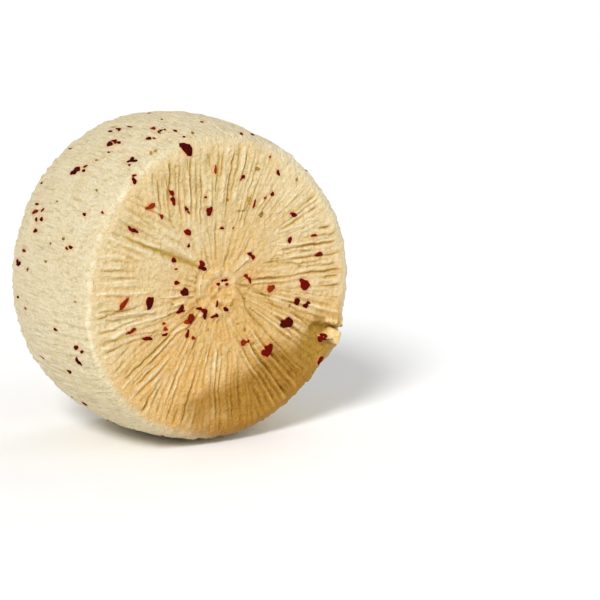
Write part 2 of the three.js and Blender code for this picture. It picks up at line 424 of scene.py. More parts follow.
def torn_lip(around, across, ragged):
    """How much of the lip under the step is at each point, from 0 to 1."""
    (first, inner), (last, outer) = LIP["from"], LIP["to"]
    lip = smoothstep(around + 0.4 * ragged, first, first + 0.9)
    lip = lip * smoothstep(last - around + 0.8 * ragged, 0, 1)
    lip = lip * smoothstep(across + 0.8 * ragged + LIP["slant"] * (around - first), inner, inner + 1.1)
    return lip * smoothstep(outer - across, 0, 3)


def step_flaps(around, across, ragged, past_step, teeth):
    """How much of the torn flaps above the step is at each point, from 0 to 1."""
    flaps = smoothstep(around + 0.8 * ragged, STEP_FLAPS["from"], STEP_FLAPS["from"] + 1.2)
    flaps = flaps * smoothstep(across, STEP_FLAPS["inner"] - 2, STEP_FLAPS["inner"] + 1)
    flaps = flaps * smoothstep(STEP_FLAPS["outer"] - across, 0, 3) * smoothstep(-past_step, -0.5, 0.1)
    return flaps * smoothstep(teeth, -0.5, 0.1)


def worn_place(direction, across):
    """(height, how sunk, how much is torn curd) of the worn edge: painted shade in the hollow, pale torn
    curd partly painted highlight.
    """
    around = (direction - math.radians(STEP_DIRECTION)) * STEP_RADIUS
    across = np.full(np.shape(around), float(across))
    ragged = value_noise(21, around / 1.8, across / 1.8 + 30)
    teeth = value_noise(23, across / 2.1 + 40) + 0.4 * ragged
    past_step = around - 0.2 + 1.3 * teeth
    border = np.interp(around, *np.transpose(WORN_BORDER))
    border = border + 1.5 * value_noise(22, around / 5, across / 5 + 9)
    softness = np.interp(around, (6, 14), (2.2, 11))
    sunk = smoothstep(past_step, 0, 0.9) * smoothstep(across - border, 0, softness)
    lip = torn_lip(around, across, ragged)
    flaps = step_flaps(around, across, ragged, past_step, teeth)
    kept_edge = smoothstep(across, 3, 10) * smoothstep(around, 5, 10)
    depth = np.interp(around, *np.transpose(WORN_DEPTHS)) * (1 - kept_edge)
    height = -(depth + 0.5 * ragged) * sunk * (depth > 0) * (1 - lip)
    height = height + lip * (LIP["height"] + 0.4 * ragged) + STEP_FLAPS["height"] * flaps
    # the second value paints shade in the hollow, and the third pale torn curd, partly a painted highlight
    return height, sunk * (1 - lip) * np.minimum(depth / FULL_HOLLOW_SHADE_DEPTH, 1), np.maximum(lip, 0.9 * flaps)


def edge_crest(direction, across):
    """The height of the crest along the front's edge, and how pale it is, as a painted highlight."""
    off = (np.degrees(direction) - EDGE_CREST["direction"] + 180) % 360 - 180
    around = direction * wheel_radius
    lumps = 1 + 0.6 * value_noise(31, around / 7) + 0.5 * value_noise(32, around / 3)
    place = EDGE_CREST["across"] + 1.2 * value_noise(33, around / 9)
    crest = (0.25 + 0.75 * bump(off, EDGE_CREST["span"])) * bump(across - place, EDGE_CREST["half_width"])
    return EDGE_CREST["height"] * crest * lumps, 0.42 * crest * lumps


def faintness(x, z):
    """How much of the folds' depth is left at points of the front."""
    left = np.ones_like(x)
    for patch_x, patch_z, radius, strength in FAINT_PATCHES:
        left = left * (1 - strength * bump(np.hypot(x - patch_x, z - patch_z), radius))
    return left


def face_relief(x, z, radius, front):
    """Height outwards from a face's plane, with what the material needs to know of it."""
    seed = 1000 if front else 2000
    share = (1 if front else BACK_FOLD_SHARE) * (0.87 + 0.25 * value_noise(seed, x / 14, z / 14))
    if front:
        share = share * faintness(x, z)
    crest, down = all_folds(x, z, radius, seed)
    swell = 0.4 * value_noise(seed + 1, x / 21, z / 21) + 0.2 * value_noise(seed + 2, x / 7, z / 7)
    wrinkles = 0.26 * ridged_noise(seed + 3, x / 4.2, z / 4.2)
    wrinkles = wrinkles + 0.22 * value_noise(seed + 4, x / 2.0, z / 2.0)
    height = 0.1 + share * (crest - FOLD_DEPTH * down) + swell + wrinkles
    # the navel's painted highlight, and its painted shade between the lumps
    navel, navel_highlight, navel_hollow_shade = navel_relief(x, z, seed + 5)
    height = height + navel
    found = {
        # ochre in the valleys, partly painted shade
        "valley": np.clip(share * down, navel_hollow_shade, 1),
        # painted highlight on the raised crests
        "crest": np.clip(share * crest, navel_highlight, 1),
    }
    if front:
        lines, found["brown"], pale = fine_lines(x, z)
        height = height + lines
        pale = np.maximum(pale, 0.42 * right_side(x, z) * (1 - found["brown"]) * (1 - found["valley"]))
        found["crest"] = np.maximum(found["crest"], pale)
        found["gold"] = goldenness(x, z)
    return height, found


def right_side(x, z):
    """1 on the right of the front, above the painted shadow, where the front is made a little paler."""
    return smoothstep(x, 5, 45) * smoothstep(z, -35, -5)


def shade(places):
    """How much of the golden brown painted shadow lies on each vertex."""
    x, y, z = places.T
    start, end = np.array(SHADE_LINE["from"]), np.array(SHADE_LINE["to"])
    way = (end - start) / np.linalg.norm(end - start)
    past_line = (x - start[0]) * way[1] - (z - start[1]) * way[0]
    blotches = 4 * value_noise(90, x / 8, z / 8)
    blotches += 4 * value_noise(94, x / 19, z / 19)
    past_edge = np.maximum(y + SHADE_LINE["edge"], 0)
    past_line = past_line + blotches - SHADE_LINE["droop"] * np.maximum(x - end[0], 0)
    shaded = smoothstep(past_line - 0.6 * past_edge, -2, SHADE_LINE["width"] + past_edge)
    shaded = shaded * smoothstep(x + 2 * blotches, *SHADE_LEFT)
    return SHADE_STRENGTH * shaded * smoothstep(-y + 0.6 * blotches, *SHADE_DEPTH)


def goldenness(x, z):
    """How golden the front is rather than cream: hardly at its top and left, and fully low down."""
    low = smoothstep(7 * value_noise(91, x / 13, z / 13) - z, -60, 10)
    low = np.clip(low * (1 + 0.35 * value_noise(93, x / 7, z / 7)), 0, 1.1)
    left = smoothstep(x - 0.9 * (z + 15) + 5 * value_noise(92, x / 9, z / 9), -72, -12)
    return 0.9 * low * left * (1 - 0.3 * right_side(x, z))


def rim_relief(direction, axial):
    """The basket's low ribs along the rim, and the curd's unevenness."""
    around = direction * wheel_radius
    phase = direction * RIB_COUNT / (2 * math.pi)
    wander = 0.25 * value_noise(60, around / 17, axial / 25)
    strength = 0.5 + 0.6 * value_noise(61, around / 19, axial / 17)
    ribs = 0.5 * RIB_DEPTH * np.cos(2 * math.pi * (phase + wander)) * strength
    swell = 0.35 * value_noise(62, around / 26, axial / 22) + 0.14 * value_noise(63, around / 6, axial / 9)
    streaks = 0.36 * ridged_noise(64, around / 3.1, axial / 19)
    streaks = streaks + 0.3 * value_noise(65, around / 1.7, axial / 8)
    return ribs + swell + streaks


def out_of_round(direction, axial):
    """How far the wheel stands out of round, with the bulge by the worn place.

    Its weight keeps it round at the foot.
    """
    from_foot = np.degrees(np.arccos(np.clip(-np.cos(direction), -1, 1)))
    free = smoothstep(from_foot, *FOOT_SPAN)
    lobed = [h * np.cos(n * (direction - math.radians(towards))) for n, h, towards in OUT_OF_ROUND]
    pushed = BULGE["height"] * bump(np.degrees(direction) - BULGE["direction"], BULGE["span"])
    return free * sum(lobed) + pushed * (1 - smoothstep(axial, -40, -8))


# ---------------- the body's mesh


VALUE_NAMES = ("valley", "crest", "brown", "sunk", "torn", "gold", "face")


def ring_vertices(ring):
    """The places of one ring's vertices, and their named values for the material."""
    side, radius, axial, normal_radial, count = ring
    direction = np.arange(count) * 2 * math.pi / count
    outer = smoothstep(radius, FOLD_START_RADIUS / 2, FOLD_START_RADIUS)
    reach = radius + outer * out_of_round(direction, axial)
    x, z = reach * np.sin(direction), reach * np.cos(direction)
    values = {name: np.zeros(count) for name in VALUE_NAMES}
    height = smoothstep(normal_radial, 0.35, 1) * rim_relief(direction, axial)
    if side:
        on_face = 1 - smoothstep(normal_radial, 0.5, 0.98)
        relief, found = face_relief(x, z, np.full(count, float(radius)), side < 0)
        height = height + relief * on_face
        values.update(found)
        values["face"] = np.full(count, 1 - smoothstep(normal_radial, 0.1, 0.75))
    if side < 0:
        across = EDGE_RADIUS * math.asin(normal_radial) if normal_radial else radius - EDGE_START
        # how sunk paints shade in the hollow; the torn curd's pale is partly a painted highlight
        worn, values["sunk"], values["torn"] = worn_place(direction, across)
        kept = 1 - 0.8 * np.maximum(values["sunk"], values["torn"])
        # the edge crest's pale is a painted highlight
        crest, pale = edge_crest(direction, across)
        height = (height + crest) * kept + worn
        values["valley"] = values["valley"] * kept
        values["crest"] = np.maximum(values["crest"], pale) * kept
    normal_axial = side * math.sqrt(max(1 - normal_radial**2, 0))
    x = x + height * normal_radial * np.sin(direction)
    z = z + height * normal_radial * np.cos(direction)
    return np.stack([x, axial + height * normal_axial, z], 1), values


def wheel_surface():
    """The wheel's vertices round its own axis, its triangles, and its named values."""
    rings = [(-1, 0.0, -FOLD_PLANE, 0.0, 1)] + wheel_rings() + [(1, 0.0, FOLD_PLANE, 0.0, 1)]
    parts = [ring_vertices(ring) for ring in rings]
    counts = [len(part[0]) for part in parts]
    firsts = np.concatenate([[0], np.cumsum(counts)[:-1]])
    triangles = [cap(0, 1, counts[1], True)]
    for i in range(1, len(rings) - 2):
        triangles.append(stitch(firsts[i], counts[i], firsts[i + 1], counts[i + 1]))
    triangles.append(cap(firsts[-1], firsts[-2], counts[-2], False))
    places = np.concatenate([part[0] for part in parts])
    values = {name: np.concatenate([part[1][name] for part in parts]) for name in VALUE_NAMES}
    return places, np.concatenate(triangles), values


def stand_up(places, axis_offset):
    """Metres in the frame: the wheel stands on a small flat, with the origin under its middle."""
    standing = places + (0, 0, foot_level)
    standing[:, 2] = np.maximum(standing[:, 2], 0)
    return (standing - axis_offset) * MM


# ---------------- meshes


def add_object(name, data):
    added = bpy.data.objects.new(name, data)
    bpy.context.scene.collection.objects.link(added)
    return added


def make_piece(name, places, triangles, values, material):
    """A smooth-shaded mesh object from metres, triangles and named values."""
    mesh = bpy.data.meshes.new(name)
    mesh.from_pydata(places.tolist(), [], triangles.tolist())
    mesh.shade_smooth()
    mesh.validate()
    for value_name, value in values.items():
        attribute = mesh.attributes.new(value_name, "FLOAT", "POINT")
        attribute.data.foreach_set("value", value.astype(np.float32))
    mesh.materials.append(material)
    piece = add_object(name, mesh)
    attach(piece, "root")
    return piece


# ---------------- chilli

# Flakes that stand out on the front: (x, z, length, width, turn in degrees).
FACE_FLAKES = {
    "skin": [
        (-20.8, 80.2, 8.4, 4.6, -62), (-31, 57.5, 3.5, 1.8, -70), (-30, 53, 4.6, 2.4, -75),
        (-22, 47.8, 2.6, 1.6, -50), (-20.7, 45.6, 1.9, 1, -60), (-9.5, 53, 1.5, 1, 0),
        (-7, 45, 5, 2.8, 60), (-21.5, 34.6, 4.2, 2.8, -15), (-20.5, 27, 1.9, 1.4, 80),
        (0.8, 34.5, 2.7, 1.2, -10), (14.6, 62.4, 2, 1.5, 50), (13.3, 61, 1.8, 0.7, 45),
        (37.5, 62.5, 3.1, 1.9, -75), (33.5, 50.7, 2.5, 2, 0), (21.5, 46, 4.4, 1.4, 75),
        (48, 37.5, 3.6, 2.1, -15), (45, 23.2, 3.4, 2.2, 60), (62, 24, 3.5, 1.3, 5),
        (18.6, 18, 3.2, 2, -25), (20.6, 16, 2.8, 2, -75), (65, 12.6, 4.6, 2.4, 5),
        (-12.6, 15.8, 3.6, 3.2, 80), (-11.6, 13, 4.6, 2, -15), (-29.5, 19.6, 3.2, 2.4, -20),
        (-29, 14.8, 1.8, 1.1, 0), (-57, 40.2, 3.4, 1.6, -45), (-54.4, 38.8, 4.2, 2, -20),
        (-28.5, 7, 3, 2.2, -20), (-24, 1.4, 4.4, 4, -20), (-46, -1.8, 7.2, 3.8, 85),
        (-1.8, 3.2, 2, 1.7, 0), (1, 4.8, 1.6, 1.3, 20), (3, 4.9, 2, 1.6, 0),
        (54.8, -3.2, 6.8, 4.9, -35), (50.3, -13, 3.8, 3.4, 0),
        (56.2, -15.8, 3.2, 2.6, 60), (58, -14.6, 2.6, 1.3, -10), (43.2, -24.8, 7.6, 5.2, -5),
        (67.6, -36.4, 4.6, 2.7, 62), (70.6, -38.1, 1.7, 1.4, -40),
        (67.4, -50.4, 4.8, 2.8, 50), (29.8, -39.3, 7.8, 5.2, 20),
        (2.5, -11.5, 2.7, 2.3, 0), (-3, -8, 3, 1.5, 70), (-6.2, -14.8, 2, 1.6, 30),
        (-4.2, -14.4, 2.4, 1.8, -60), (-11.6, -10.8, 3.6, 2.4, -50), (-11, -13.6, 3.8, 2, 85),
        (-14.2, -9.4, 3, 1.7, -20), (-26, -8, 4.4, 2.7, 60), (-27.6, -9.8, 2, 1.6, 20),
        (-22, -23, 4.2, 2.2, 80), (-47.4, -22.2, 5.4, 2, -10), (-36.4, -21.2, 3.2, 1.6, 10),
        (-59.6, -17.2, 2.4, 1.4, 20), (8, 34, 1.2, 0.8, 40), (32, 72, 1.6, 1, 20),
    ],
    "pulp": [
        (-44.5, 51.2, 5, 2.6, 20), (-62, -0.6, 8, 2.4, 48), (3.4, 2.4, 2, 1.5, 0),
        (32.2, -3.2, 4.8, 3.2, 35), (-19.8, -14, 5, 3.8, 60), (-22.4, -16, 3, 1.7, 20),
        (-36, -18.2, 2.4, 1.8, -30), (-37, -15, 1.8, 1.2, 0),
        (-56.8, -16.6, 4.6, 2.3, 20), (-18.4, -25.6, 2.6, 1.5, -40), (14, -32.4, 3.4, 2.6, 60),
        (17, -32, 2.2, 1.5, 0), (-24.5, -9.4, 1.8, 1.2, 0), (28.7, 49, 2, 1.2, 10),
        (16.4, 5.6, 2.8, 1.8, -50), (18.4, 3, 3.2, 1.8, -75), (-3.6, 68, 5, 1.4, 85),
        (46.5, 38.4, 1.6, 1.2, 0), (-37.5, 45, 2.4, 1.4, 80),
    ],
    "seed": [
        (18, 49, 2.6, 1.9, 70), (23.5, 66, 2.3, 1.7, 0), (45, -15, 1.8, 1.2, 60), (15, -25, 2, 1.4, 80),
        (20.5, -33.5, 1.9, 1.2, 70), (6, -9.5, 2.4, 1.2, 25), (-32, -4.6, 1.8, 1.1, 0),
        (-33.5, -10.2, 2, 1.2, 50), (26.4, 39.6, 2.8, 1.6, 60), (14.4, -6.8, 2.4, 1, 0),
        (-9, -22, 1.7, 1.1, 80), (4.6, 50, 1.4, 0.9, 80), (49.6, 57.4, 2, 1.3, 50), (72, -38, 1.8, 1.2, 30),
        (10.5, -21, 1.5, 1, 0), (51.6, 7.6, 1.5, 1, 0),
    ],
}

# Flakes that stand out on the rim: (direction, y, length, width, turn from the axis in degrees).
RIM_FLAKES = {
    "skin": [
        (-39, -43.2, 3.4, 2.2, 20), (-37.4, -41.6, 2.6, 1.4, -50), (-33, -32.3, 5.2, 2.6, -50),
        (-31.8, -30.4, 2.4, 2, 40), (-21.5, -24.5, 3.6, 2.8, 20), (-16.8, -24, 3.4, 1.3, 15),
        (-15.6, -22, 3.4, 1.4, -40), (-14, -22.6, 2.8, 1.1, 30), (-12, -28.6, 3.5, 1.6, 0),
        (-12.3, -38, 2, 1.3, 20), (-58, -28, 2.5, 1.7, 10), (-70.5, -27, 3.2, 1.6, 0),
        (-71.2, -24.2, 2.6, 1.3, 20), (-106.5, -31.8, 4, 2.2, -15), (-108, -35.5, 3, 1.6, -30),
        (-101, -16.5, 3.4, 1.5, 10), (-112.5, -29.5, 4.8, 2.8, 60), (-118, -15, 3.6, 2, 10),
        (-116, 14, 4.6, 1.6, 5), (-28.5, -10, 4.6, 1.7, 0), (-30.4, -4.8, 4.4, 3.4, 10),
        (-28.4, -4.4, 4.4, 2, -20), (-33.5, -10.8, 2.2, 1.2, 0), (-43.5, -4.8, 3.2, 1.6, 10),
        (-41.8, -3.4, 2.8, 1.6, -20), (-45.2, 2.8, 4.8, 3.6, 15), (-43.6, 2, 5.4, 2.8, 0),
        (-19.6, 0, 4.8, 1.7, 0), (-22.6, 4.6, 4.8, 1.5, 10), (-22.4, 7.6, 3.4, 1.2, 0),
        (-24.6, 9.4, 3.8, 1.3, -10), (-21.5, 15, 4.4, 0.9, -10), (-64.6, 10.4, 3.8, 2.1, 20),
        (-69, 14.4, 4.6, 2, -10), (-65.3, 16.6, 3.6, 1.8, 10), (-60, 24, 4.6, 1.3, 0),
        (-82.6, 29.4, 4.8, 2.2, -10), (-82, 32.6, 3.8, 1.8, 20), (-36, 31, 4, 0.9, 0),
        (11.5, -39, 3.6, 1.8, 30), (2, -20, 2.6, 1, 0), (-5, 20, 3.4, 1.2, 0), (-9, -6, 2.2, 1, 20),
        (-52, 33, 3, 1.5, 10), (-95, 30, 3, 1.4, 0), (-55, -40, 2, 1.1, 30),
    ],
    "pulp": [
        (-29, -7.4, 3, 1.4, 10), (-62.8, 23.2, 5.8, 2.4, -20), (-77.2, 23.6, 4.8, 1.7, 0),
        (-83, 14.5, 2.6, 1.3, 0), (-61.5, 14, 3.4, 1.6, -30), (-16, -15, 3.8, 1.6, -20),
        (-35, -34.6, 1.8, 1.2, 0), (-20.2, -26.6, 2, 1.3, 0),
    ],
    "seed": [
        (-68.5, -18.5, 2.4, 1.5, 0), (-71.5, -6.5, 2, 1.2, 0), (-78, -6, 2.2, 1.3, 0),
        (-48.5, -26.5, 1.8, 1.1, 0), (-8, -36.5, 2.6, 1.3, 10), (-26.5, -37.5, 3.4, 1.5, 30),
        (-24.8, -38.6, 2.4, 1.2, -20), (-97.5, 17.5, 3, 1.4, 0), (-38.2, -8, 2.2, 1.3, 0),
        (-83.4, 14.2, 2.2, 1, 0), (-57, 2, 1.6, 1, 0), (-89, -36, 1.8, 1, 0),
    ],
}

# How many more are scattered on the back face, and on the rim between the hidden directions.
HIDDEN_COUNTS = {"skin": 92, "pulp": 34, "seed": 34}
HIDDEN_LENGTHS = {"skin": 3.0, "pulp": 3.0, "seed": 2.0}  # the usual length of each kind there
BACK_SHARE = 0.46  # of them lie on the back face
BACK_RADIUS = 82
HIDDEN_DIRECTIONS = (14, 232)
HIDDEN_Y = 42
FOOT_CLEAR = 12  # degrees each side of the foot without any

FLAKE_SIDES = 14
FLAKE_SWELL = 1.1  # how much larger a chip is than the sizes above
CHIP_THICKNESS = {"least": 0.16, "per_width": 0.07, "full_width": 3.5}
# (waves round a chip's outline, how far they reach)
CHIP_WAVES = [(1, 0.10), (2, 0.10), (3, 0.14), (5, 0.07), (7, 0.04)]
# (scale, sunk or proud height in mm, share of the chip's thickness) of its rings, from the base up
CHIP_RINGS = [(0.8, -0.5, 0), (1.02, -0.12, 0), (1.0, 0, 0.5), (0.66, 0, 1.0)]
CHIP_CROWN = 1.1  # the height of a chip's middle, as a share of its thickness
CHIP_GIVE = 0.4  # how far a chip's top bends after the curd under it
RIM_TINT = (0.5, -0.35)  # the spread and the least of the rim's tints, which are darker
PIECE_NAMES = {"skin": "chilli_skin_flakes", "pulp": "chilli_pulp_flakes", "seed": "chilli_seeds"}
DRAW_SEEDS = {"skin": 101, "pulp": 102, "seed": 103}
OIL_STRENGTH = {"skin": 0.75, "pulp": 0.95, "seed": 0.35}
OIL_REACH = 1.2  # how far past a flake its oil soaks
ABOVE_CURD = 60  # where the rays that look for the curd under a flake start


def hidden_spots(kind, draw):
    """Random flakes on the back face and on the rim below and behind."""
    back, rim = [], []
    for _ in range(HIDDEN_COUNTS[kind]):
        length = draw.lognormal(math.log(HIDDEN_LENGTHS[kind]), 0.38)
        width = length * draw.uniform(0.4, 0.8)
        if draw.random() < BACK_SHARE:
            radius = BACK_RADIUS * math.sqrt(draw.random())
            angle = draw.uniform(0, 2 * math.pi)
            x, z = radius * math.sin(angle), radius * math.cos(angle)
            back.append((x, z, length, width, draw.uniform(0, 180)))
        else:
            direction, y = draw.uniform(*HIDDEN_DIRECTIONS), draw.uniform(-HIDDEN_Y, HIDDEN_Y)
            rim.append((direction, y, length, width, draw.normal(0, 22)))
    clear = [spot for spot in rim if abs(spot[0] - 180) > FOOT_CLEAR]
    return back, clear


def edge_lean(past_flat):
    """How far the surface has leaned over on the rounded edge, past the flat of the rim or face."""
    return math.asin(min(max(past_flat / EDGE_RADIUS, 0), 0.9))


def rim_landing(spot):
    """A flake's middle on the rim, the way its length runs, and the way out."""
    direction, y, _, _, turn = spot
    direction, turn = math.radians(direction), math.radians(turn)
    radial = np.array([math.sin(direction), 0, math.cos(direction)])
    around = np.array([math.cos(direction), 0, -math.sin(direction)])
    side = math.copysign(1, y)
    lean = edge_lean(abs(y) - rim_end)
    out = radial * math.cos(lean) + np.array([0, side * math.sin(lean), 0])
    along = np.array([0, math.cos(lean), 0]) - radial * side * math.sin(lean)
    length_way = along * math.cos(turn) + around * math.sin(turn)
    reach = rim_radius(max(min(y, rim_end), -rim_end)) - EDGE_RADIUS * (1 - math.cos(lean))
    return np.array([0, y, 0]) + reach * radial, length_way, out


def face_landing(spot, side):
    """The same for a flake on a face."""
    x, z, _, _, turn = spot
    radius, turn = math.hypot(x, z), math.radians(turn)
    lean = edge_lean(radius - EDGE_START)
    out = np.array([0, side * math.cos(lean), 0]) + np.array([x, 0, z]) / radius * math.sin(lean)
    length_way = np.array([math.cos(turn), 0, math.sin(turn)])
    length_way = length_way - (length_way @ out) * out
    middle = np.array([x, side * (rim_end + EDGE_RADIUS * math.cos(lean)), z])
    return middle, length_way / np.linalg.norm(length_way), out


def outline_of(kind, draw, length, width):
    """(along, across) points: an irregular chip, or a rounder seed that is pointed at one end."""
    angles = np.arange(FLAKE_SIDES) * 2 * math.pi / FLAKE_SIDES
    if kind == "seed":
        reach = 1 + draw.uniform(-0.06, 0.06, FLAKE_SIDES)
        length = length * (1 + 0.25 * np.maximum(np.cos(angles), 0) ** 4)
    else:
        reach = np.ones(FLAKE_SIDES)
        for waves, depth in CHIP_WAVES:
            reach = reach + depth * np.cos(waves * angles + draw.uniform(0, 2 * math.pi))
    return 0.5 * length * reach * np.cos(angles), 0.5 * width * reach * np.sin(angles)


def lay_flake(landing, outline, thickness, body_tree):
    """One closed chip, sunk in the curd and lying over its ridges. Gives places and triangles."""
    middle, length_way, out = landing
    ways = np.stack([length_way, np.cross(out, length_way)])
    rings = [np.stack(outline, 1) * scale for scale, _, _ in CHIP_RINGS]
    flat = np.concatenate(rings + [np.zeros((2, 2))])
    starts = middle + flat @ ways + ABOVE_CURD * out
    falls = [body_tree.ray_cast(Vector(start), Vector(-out))[3] or ABOVE_CURD for start in starts]
    ground = ABOVE_CURD - np.array(falls)
    slopes = np.column_stack([flat, np.ones(len(flat))])
    plane = slopes @ np.linalg.lstsq(slopes, ground, rcond=None)[0]
    over = ground - plane
    top = plane + CHIP_GIVE * over + (1 - CHIP_GIVE) * over.max()
    count = len(outline[0])
    heights = np.repeat([height for _, height, _ in CHIP_RINGS[:2]], count)
    shares = np.repeat([share for _, _, share in CHIP_RINGS[2:]], count)
    levels = [ground[:2 * count] + heights, top[2 * count:-2] + thickness * shares]
    levels.append([top[-2] + CHIP_CROWN * thickness, ground[-1] + CHIP_RINGS[0][1]])
    laid = middle + flat @ ways + np.outer(np.concatenate(levels), out)
    triangles = [stitch(count * i, count, count * (i + 1), count) for i in range(len(CHIP_RINGS) - 1)]
    crown, bottom = count * len(CHIP_RINGS), count * len(CHIP_RINGS) + 1
    triangles.append(cap(crown, count * (len(CHIP_RINGS) - 1), count, False))
    triangles.append(cap(bottom, 0, count, True))
    return laid, np.concatenate(triangles)


def lay_all(landings, kind, draw, body_tree):
    """Every flake of a kind as one set of places, triangles and a tint for each."""
    places, triangles, tints = [], [], []
    first = 0
    for landing, length, width in landings:
        outline = outline_of(kind, draw, FLAKE_SWELL * length, FLAKE_SWELL * width)
        full_width = min(width, CHIP_THICKNESS["full_width"])
        thickness = CHIP_THICKNESS["least"] + CHIP_THICKNESS["per_width"] * full_width
        thickness = thickness * draw.uniform(0.8, 1.2)
        laid, faces = lay_flake(landing, outline, thickness, body_tree)
        places.append(laid)
        triangles.append(faces + first)
        on_rim = abs(landing[2][1]) < 0.1
        tint = draw.random()
        if on_rim:
            tint = RIM_TINT[0] * tint + RIM_TINT[1]
        tints.append(np.full(len(laid), tint))
        first += len(laid)
    return np.concatenate(places), np.concatenate(triangles), np.concatenate(tints)


def landings_of(kind):
    """Every flake of a kind as (landing, length, width)."""
    draw = np.random.default_rng(DRAW_SEEDS[kind])
    back, more_rim = hidden_spots(kind, draw)
    landings = [(face_landing(s, -1), s[2], s[3]) for s in FACE_FLAKES[kind]]
    landings += [(face_landing(s, 1), s[2], s[3]) for s in back]
    landings += [(rim_landing(s), s[2], s[3]) for s in RIM_FLAKES[kind] + more_rim]
    return landings, draw


def oil_stains(places, kinds):
    """How much chilli oil has soaked into the curd round the flakes, at each vertex."""
    oil = np.zeros(len(places))
    for kind, landings in kinds.items():
        for (middle, _, out), length, width in landings:
            offset = places - middle
            outward = offset @ out
            distance = np.sqrt(np.maximum((offset**2).sum(1) - outward**2, 0))
            size = 0.9 * (length + width) / 2 + OIL_REACH
            soaked = OIL_STRENGTH[kind] * bump(distance, size) * (np.abs(outward) < 7)
            oil = np.maximum(oil, soaked)
    return oil


# ---------------- materials


class Nodes:
    """A short way to make and join a material's nodes."""

    def __init__(self, name):
        self.material = bpy.data.materials.new(name)
        self.material.use_nodes = True
        self.tree = self.material.node_tree
        self.shader = self.tree.nodes["Principled BSDF"]
        coordinates = self.tree.nodes.new("ShaderNodeTexCoord")
        inputs = {0: coordinates.outputs["Object"], "Scale": 1 / MM}
        self.place = self.make("ShaderNodeVectorMath", inputs, operation="SCALE").outputs[0]

    def make(self, kind, inputs, **settings):
        node = self.tree.nodes.new(kind)
        for name, value in settings.items():
            setattr(node, name, value)
        for name, value in inputs.items():
            if isinstance(value, bpy.types.NodeSocket):
                self.tree.links.new(value, node.inputs[name])
            else:
                node.inputs[name].default_value = value
        return node

    def attribute(self, name):
        return self.make("ShaderNodeAttribute", {}, attribute_name=name).outputs["Fac"]

    def noise(self, size, detail=2.0, stretch=(1, 1, 1), distortion=0.0):
        """Noise from 0 to 1, whose bumps are about size millimetres."""
        place = self.make("ShaderNodeVectorMath", {0: self.place, 1: stretch}, operation="MULTIPLY")
        inputs = {"Vector": place.outputs[0], "Scale": 1 / size, "Detail": detail, "Distortion": distortion}
        return self.make("ShaderNodeTexNoise", inputs).outputs["Fac"]

    def ramp(self, value, low, high):
        """0 below low, 1 above high."""
        inputs = {"Value": value, "From Min": low, "From Max": high}
        return self.make("ShaderNodeMapRange", inputs, interpolation_type="SMOOTHSTEP").outputs["Result"]

    def patches(self, low, high, *noise):
        """1 in the patches where a noise is above high, and 0 where it is below low."""
        return self.ramp(self.noise(*noise), low, high)

    def math(self, operation, *numbers):
        inputs = dict(enumerate(numbers))
        return self.make("ShaderNodeMath", inputs, operation=operation).outputs[0]

    def mix(self, share, first, second):
        """A colour between two others."""
        node = self.make("ShaderNodeMix", {}, data_type="RGBA")
        for index, value in ((0, share), (6, first), (7, second)):
            if isinstance(value, bpy.types.NodeSocket):
                self.tree.links.new(value, node.inputs[index])
            elif index:
                node.inputs[index].default_value = (*value, 1)
            else:
                node.inputs[index].default_value = value
        return node.outputs[2]

    def lay(self, colour, other, share, strength):
        """A colour with another laid over it, as far as share (0 to 1) times strength."""
        return self.mix(self.math("MULTIPLY", share, strength), colour, other)

    def bump(self, height, depth, before=None):
        """A fine relief of the given depth in millimetres."""
        inputs = {"Height": height, "Distance": depth * MM}
        if before:
            inputs["Normal"] = before
        return self.make("ShaderNodeBump", inputs).outputs["Normal"]

    def finish(self, colour, roughness, normal, **numbers):
        self.tree.links.new(colour, self.shader.inputs["Base Color"])
        self.tree.links.new(roughness, self.shader.inputs["Roughness"])
        self.tree.links.new(normal, self.shader.inputs["Normal"])
        for name, value in numbers.items():
            self.shader.inputs[name.replace("_", " ")].default_value = value
        return self.material


ACROSS_RIM = (1, 0.12, 1)  # draws noise out into lines along the wheel's axis


def rim_colour(n):
    """An ivory rim with pale and dark lines along the wheel's axis."""
    colour = n.mix(n.patches(0.35, 0.7, 16, 3), (0.66, 0.56, 0.35), (0.64, 0.52, 0.3))
    colour = n.lay(colour, (0.79, 0.70, 0.49), n.patches(0.35, 0.7, 1.1, 3, ACROSS_RIM), 0.5)
    dark_lines = n.patches(0.52, 0.66, 1.5, 3, ACROSS_RIM, 0.8)
    colour = n.lay(colour, (0.49, 0.38, 0.18), dark_lines, 0.66)
    return n.lay(colour, (0.85, 0.76, 0.54), n.patches(0.44, 0.6, 2.0, 4), 0.3)


def face_colour(n):
    """Cream to golden curd with pale flecks and rosy mottles."""
    colour = n.mix(n.patches(0.35, 0.68, 19, 3), (0.75, 0.60, 0.34), (0.745, 0.555, 0.275))
    colour = n.mix(n.attribute("gold"), colour, (0.72, 0.42, 0.125))
    colour = n.lay(colour, (0.80, 0.67, 0.41), n.patches(0.45, 0.7, 1.9, 3), 0.38)
    return n.lay(colour, (0.80, 0.50, 0.27), n.patches(0.5, 0.66, 3.2, 3, (1.1, 1, 0.9)), 0.22)


def fold_colour(n, colour):
    """Painted highlights on the crests, ochre valleys with painted shade, and brown creases with painted
    shade, over the curd's own colour.
    """
    # painted highlight on the fold crests, raised lines, the navel's lumps and the front's edge crest
    colour = n.lay(colour, (0.90, 0.81, 0.56), n.ramp(n.attribute("crest"), 0.15, 0.75), 0.75)
    # ochre in the valleys, partly painted shade
    colour = n.lay(colour, (0.54, 0.32, 0.04), n.attribute("valley"), 0.85)
    # brown in the creases, partly painted shade
    brown = n.mix(n.attribute("gold"), (0.46, 0.29, 0.01), (0.35, 0.17, 0.01))
    return n.lay(colour, brown, n.attribute("brown"), 0.85)


